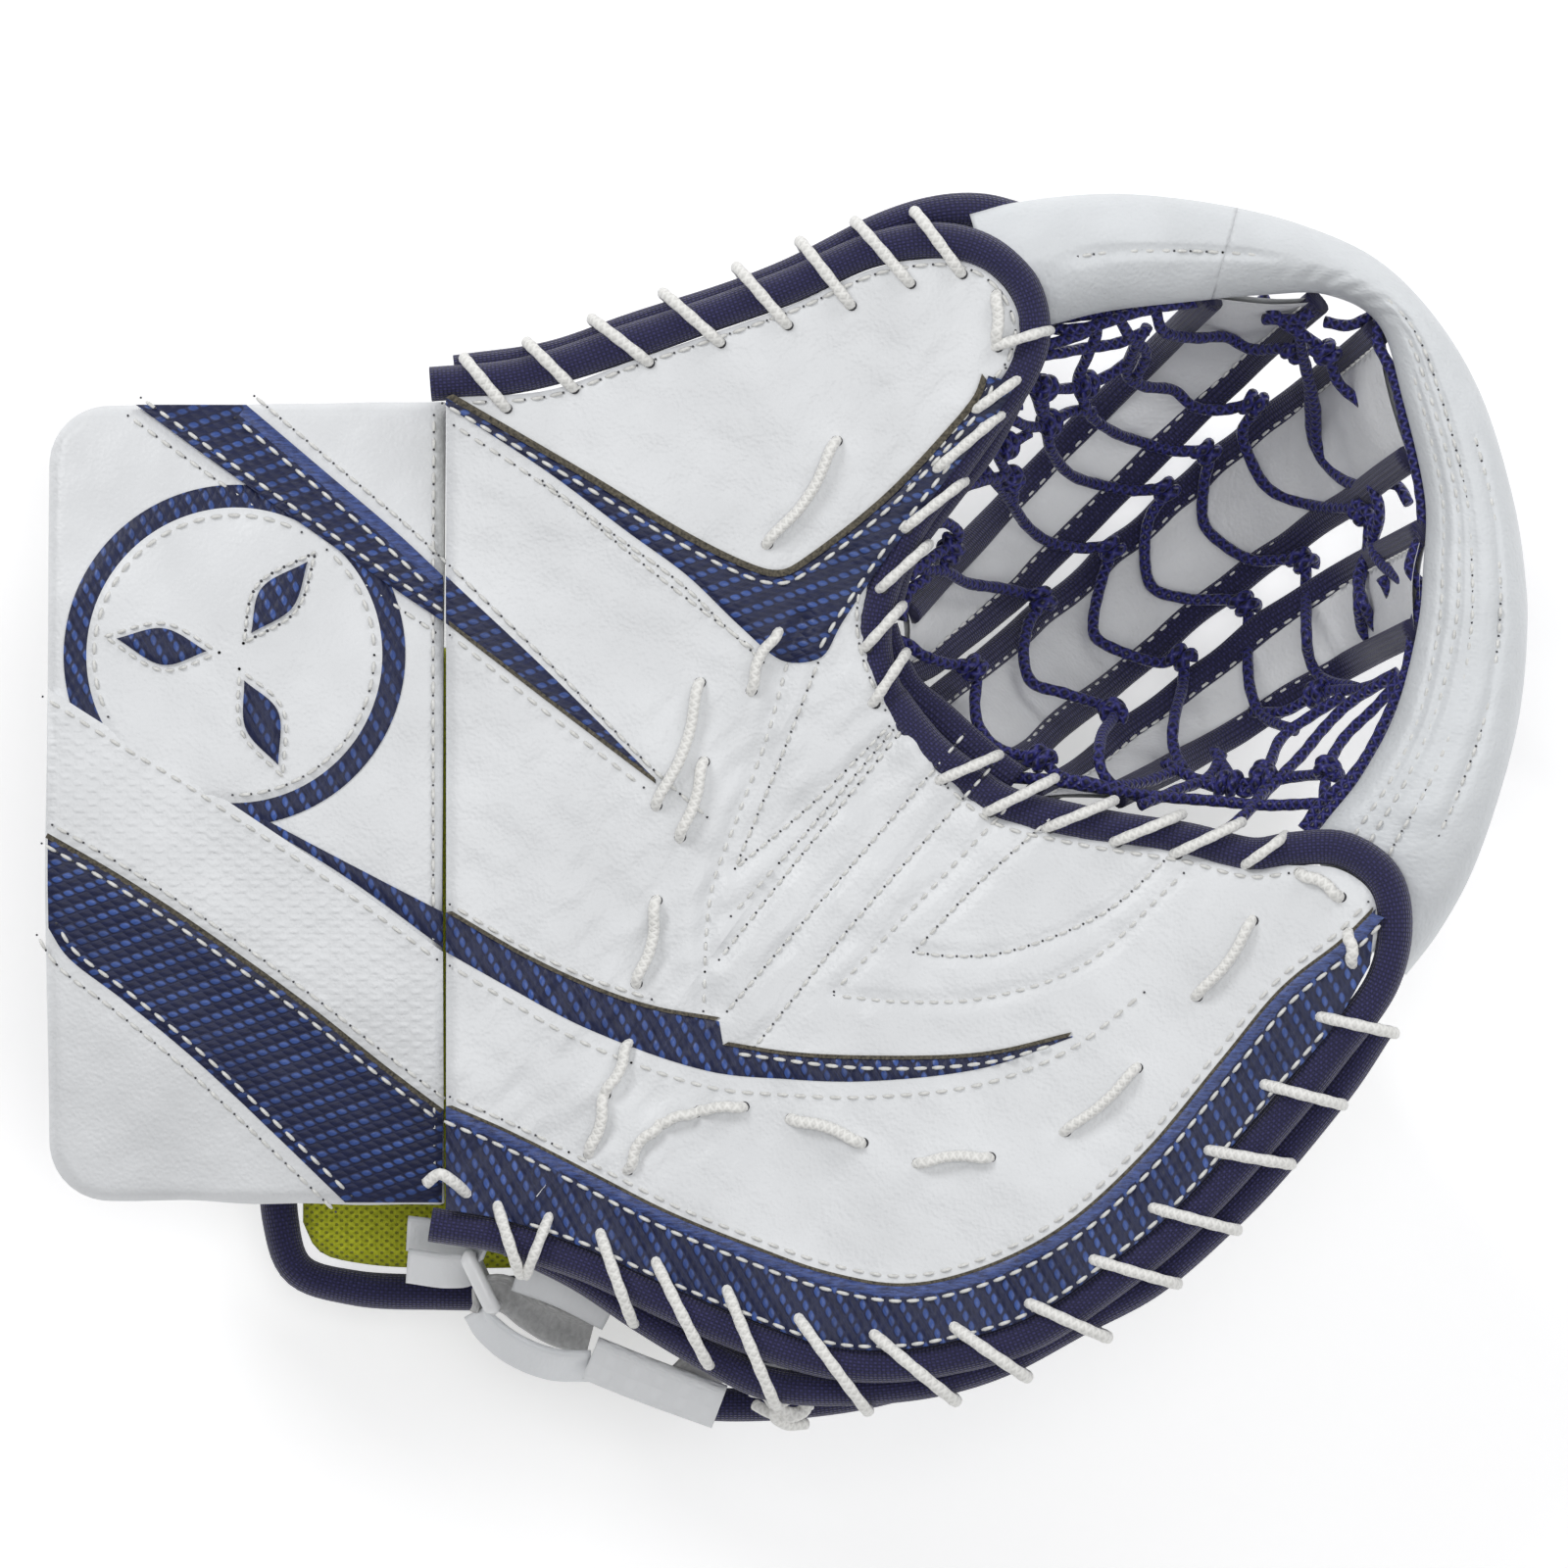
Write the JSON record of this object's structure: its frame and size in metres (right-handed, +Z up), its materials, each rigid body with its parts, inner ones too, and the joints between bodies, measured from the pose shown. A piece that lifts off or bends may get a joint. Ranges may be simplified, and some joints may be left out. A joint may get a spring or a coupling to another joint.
{
  "type": "goalie catch glove",
  "caption": "Ice-hockey goalie catch glove, open and palm up: padded cuff, laced thumb and finger lobes, and a T-strap pocket with a padded rim.",
  "frame": {"origin": "on the surface the glove rests on, a point of the flat back-of-hand pad under the middle of the glove's plan", "axes": "+X from the cuff to the pocket, +Y toward the thumb side, +Z up out of the palm"},
  "size_m": [0.3745, 0.3136, 0.1283],
  "materials": {
    "white_leather": "satin",
    "woven_panel": "gloss",
    "nylon_binding": "matte",
    "foam": "matte",
    "padded_back": "satin",
    "stiffener": "matte",
    "palm_lining": "matte",
    "mesh_lining": "matte",
    "white_lace": "matte",
    "waxed_lace": "satin",
    "white_plastic": "gloss"
  },
  "bodies": {
    "palm": {"thumb_face_leather": "white_leather", "thumb_face_foam": "foam", "thumb_plastic_insert": "stiffener", "palm_liner": "palm_lining", "thumb_binding": "nylon_binding", "thumb_back_binding": "nylon_binding", "thumb_back_pad": "padded_back", "thumb_side_web": "palm_lining", "thumb_lace": "white_lace", "heel_lace": "white_lace", "thumb_v_panel": "woven_panel", "palm_wedges": "woven_panel", "rim_thumb": "white_leather", "rim_core_thumb": "foam", "back_hand_pad": "padded_back", "back_hand_liner": "mesh_lining", "back_hand_binding": "nylon_binding", "hand_stay": "nylon_binding", "ring_tab": "white_leather", "side_tab": "white_leather"},
    "pocket": {"pocket_strap_1": "white_leather", "pocket_strap_2": "white_leather", "pocket_strap_3": "white_leather", "pocket_strap_bindings": "nylon_binding", "rim_apex": "white_leather", "rim_core_apex": "foam", "pocket_lace": "waxed_lace", "side_nets": "waxed_lace", "crotch_binding": "nylon_binding"},
    "fingers": {"finger_face_leather": "white_leather", "finger_face_foam": "foam", "finger_plastic_insert": "stiffener", "finger_liner": "palm_lining", "finger_binding": "nylon_binding", "finger_back_binding": "nylon_binding", "finger_back_pad": "padded_back", "finger_back_liner": "mesh_lining", "finger_back_roll": "nylon_binding", "finger_side_gusset": "nylon_binding", "finger_dividers": "palm_lining", "finger_lace": "white_lace", "pocket_edge_lace": "white_lace", "finger_face_lace": "white_lace", "lace_knot": "white_lace", "finger_crescent": "woven_panel", "finger_edge_panel": "woven_panel", "rim_finger": "white_leather", "rim_core_finger": "foam", "strap_tail": "white_leather"},
    "cuff": {"cuff_cover": "white_leather", "cuff_foam": "foam", "cuff_plastic_insert": "stiffener", "cuff_liner": "palm_lining", "cuff_pinky_wall": "padded_back", "cuff_thumb_wall": "padded_back", "cuff_stripes": "woven_panel", "cuff_emblem": "woven_panel"},
    "ring": {"strap_ring": "white_plastic"},
    "wrist_strap": {"wrist_strap": "white_leather"}
  },
  "joints": [
    {"name": "pocket_fold", "type": "hinge", "parent": "palm", "child": "pocket", "pos_m": [0.027, 0.027, 0.11], "axis": [-0.5878, -0.809, 0], "range_deg": [0, 18]},
    {"name": "finger_fold", "type": "hinge", "parent": "pocket", "child": "fingers", "pos_m": [0.027, 0.027, 0.11], "axis": [-0.5878, -0.809, 0], "range_deg": [0, 18]},
    {"name": "cuff_flex", "type": "hinge", "parent": "palm", "child": "cuff", "pos_m": [-0.0866, 0.0025, 0.106], "axis": [0, 1, 0], "range_deg": [0, 25]},
    {"name": "ring_swing", "type": "hinge", "parent": "palm", "child": "ring", "pos_m": [-0.081, -0.1135, 0.064], "axis": [0, 0, 1], "range_deg": [-4, 10]},
    {"name": "strap_peel", "type": "hinge", "parent": "ring", "child": "wrist_strap", "pos_m": [-0.075, -0.126, 0.064], "axis": [0, 0, -1], "range_deg": [0, 40]}
  ],
  "couplings": [
    {"joint": "finger_fold", "follows": "pocket_fold", "ratio": 1}
  ]
}
